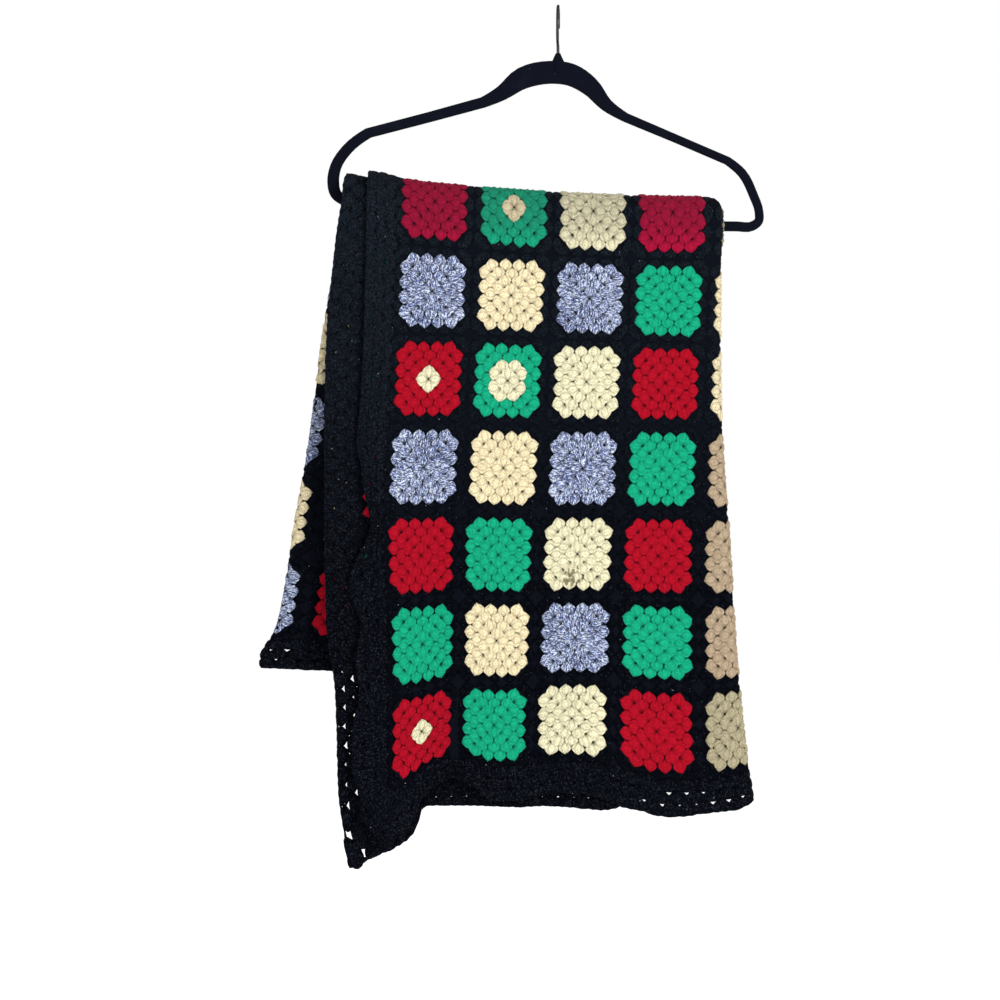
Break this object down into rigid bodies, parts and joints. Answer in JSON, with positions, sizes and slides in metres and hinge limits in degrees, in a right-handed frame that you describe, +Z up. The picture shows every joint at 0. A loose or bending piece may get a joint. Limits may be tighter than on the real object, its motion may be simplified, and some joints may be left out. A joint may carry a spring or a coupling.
{
  "type": "granny square blanket on a clothes hanger",
  "caption": "Crocheted granny square blanket, folded in four lengthwise and draped over the bar of a slim flocked clothes hanger with a wire hook.",
  "frame": {"origin": "the inner crown of the hanger's hook, where a rail would carry it", "axes": "+Z up, +X along the hanger's bar to the right as seen from the front, -Y the front of the blanket"},
  "size_m": [0.5107, 0.0856, 0.8662],
  "materials": {
    "crochet": "matt crocheted acrylic yarn, black with squares in red, green, cream, ivory and marled blue",
    "flock": "black velvet flock on moulded plastic",
    "hook_steel": "bright plated wire"
  },
  "bodies": {
    "root": {"blanket": "crochet", "hanger_body": "flock", "hanger_hook": "hook_steel"}
  },
  "joints": []
}
